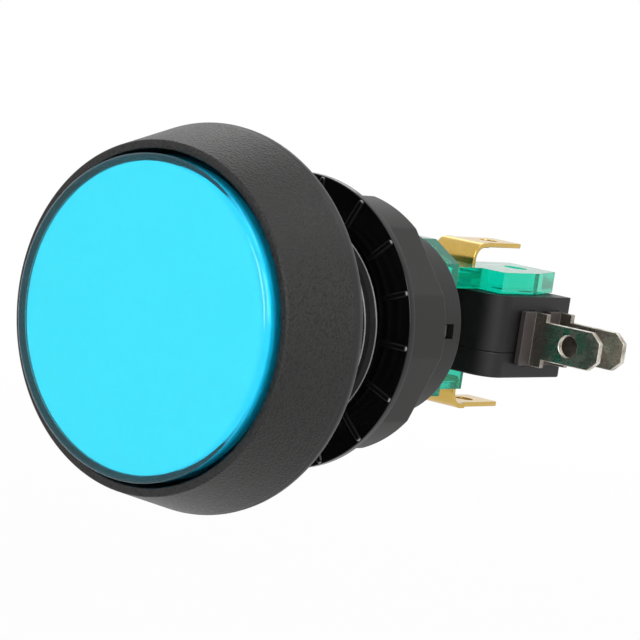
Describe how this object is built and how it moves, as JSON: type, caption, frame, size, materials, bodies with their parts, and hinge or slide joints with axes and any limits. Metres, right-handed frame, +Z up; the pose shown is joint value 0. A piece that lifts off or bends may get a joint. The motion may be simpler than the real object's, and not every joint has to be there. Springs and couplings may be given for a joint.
{
  "type": "arcade button",
  "caption": "Round panel push button with a flat illuminated lens, conical bezel, threaded barrel, flanged nut, lamp holder and snap-action switch with push-on tabs.",
  "frame": {"origin": "on the button's axis, in the plane of the bezel's back face, which seats on the panel", "axes": "+Y along the axis from the lens to the switch, +Z up across the switch's thickness, +X the way the two silver switch tabs point"},
  "size_m": [0.045, 0.0812, 0.045],
  "materials": {
    "housing_plastic": "fine spark-eroded texture, dark grey",
    "lens_plastic": "clear blue, polished",
    "white_plastic": "moulded white",
    "spring_steel": "drawn wire",
    "nut_plastic": "black, polished clamping face and satin body",
    "holder_plastic": "clear emerald green",
    "terminal_brass": "bright rolled strip",
    "lamp_glass": "clear",
    "switch_plastic": "black moulded",
    "pin_plastic": "moulded dark grey",
    "tab_metal": "bright plated",
    "blade_metal": "rolled spring strip"
  },
  "bodies": {
    "housing": {"bezel_housing": "housing_plastic", "lamp_holder": "holder_plastic", "lamp_terminal_upper": "terminal_brass", "lamp_terminal_lower": "terminal_brass", "lamp_base": "white_plastic", "lamp_dome": "lamp_glass", "lamp_leads": "tab_metal", "switch_case": "switch_plastic", "switch_cover": "switch_plastic", "front_terminal": "tab_metal", "rear_terminal": "tab_metal", "common_terminal": "tab_metal", "front_contact": "tab_metal", "rear_contact": "tab_metal", "snap_blade": "blade_metal", "return_spring": "spring_steel"},
    "button": {"lens_cap": "lens_plastic", "diffuser_disc": "white_plastic", "plunger": "white_plastic"},
    "pin": {"switch_pin": "pin_plastic"},
    "contact": {"moving_contact": "tab_metal"},
    "nut": {"mounting_nut": "nut_plastic"}
  },
  "joints": [
    {"name": "button_press", "type": "slide", "parent": "housing", "child": "button", "axis": [0, 1, 0], "range_m": [0, 0.0024], "stiffness_N_per_m": 600, "springref_m": -0.002, "deforming": ["return_spring"]},
    {"name": "pin_press", "type": "slide", "parent": "housing", "child": "pin", "axis": [0, 1, 0], "range_m": [0, 0.0024], "deforming": ["snap_blade"]},
    {"name": "contact_throw", "type": "slide", "parent": "housing", "child": "contact", "axis": [0, 1, 0], "range_m": [0, 0.0006]},
    {"name": "nut_travel", "type": "slide", "parent": "housing", "child": "nut", "axis": [0, 1, 0], "range_m": [-0.0136, 0.008]}
  ],
  "couplings": [
    {"joint": "pin_press", "follows": "button_press", "ratio": 1},
    {"joint": "contact_throw", "follows": "button_press", "ratio": 0.25}
  ]
}
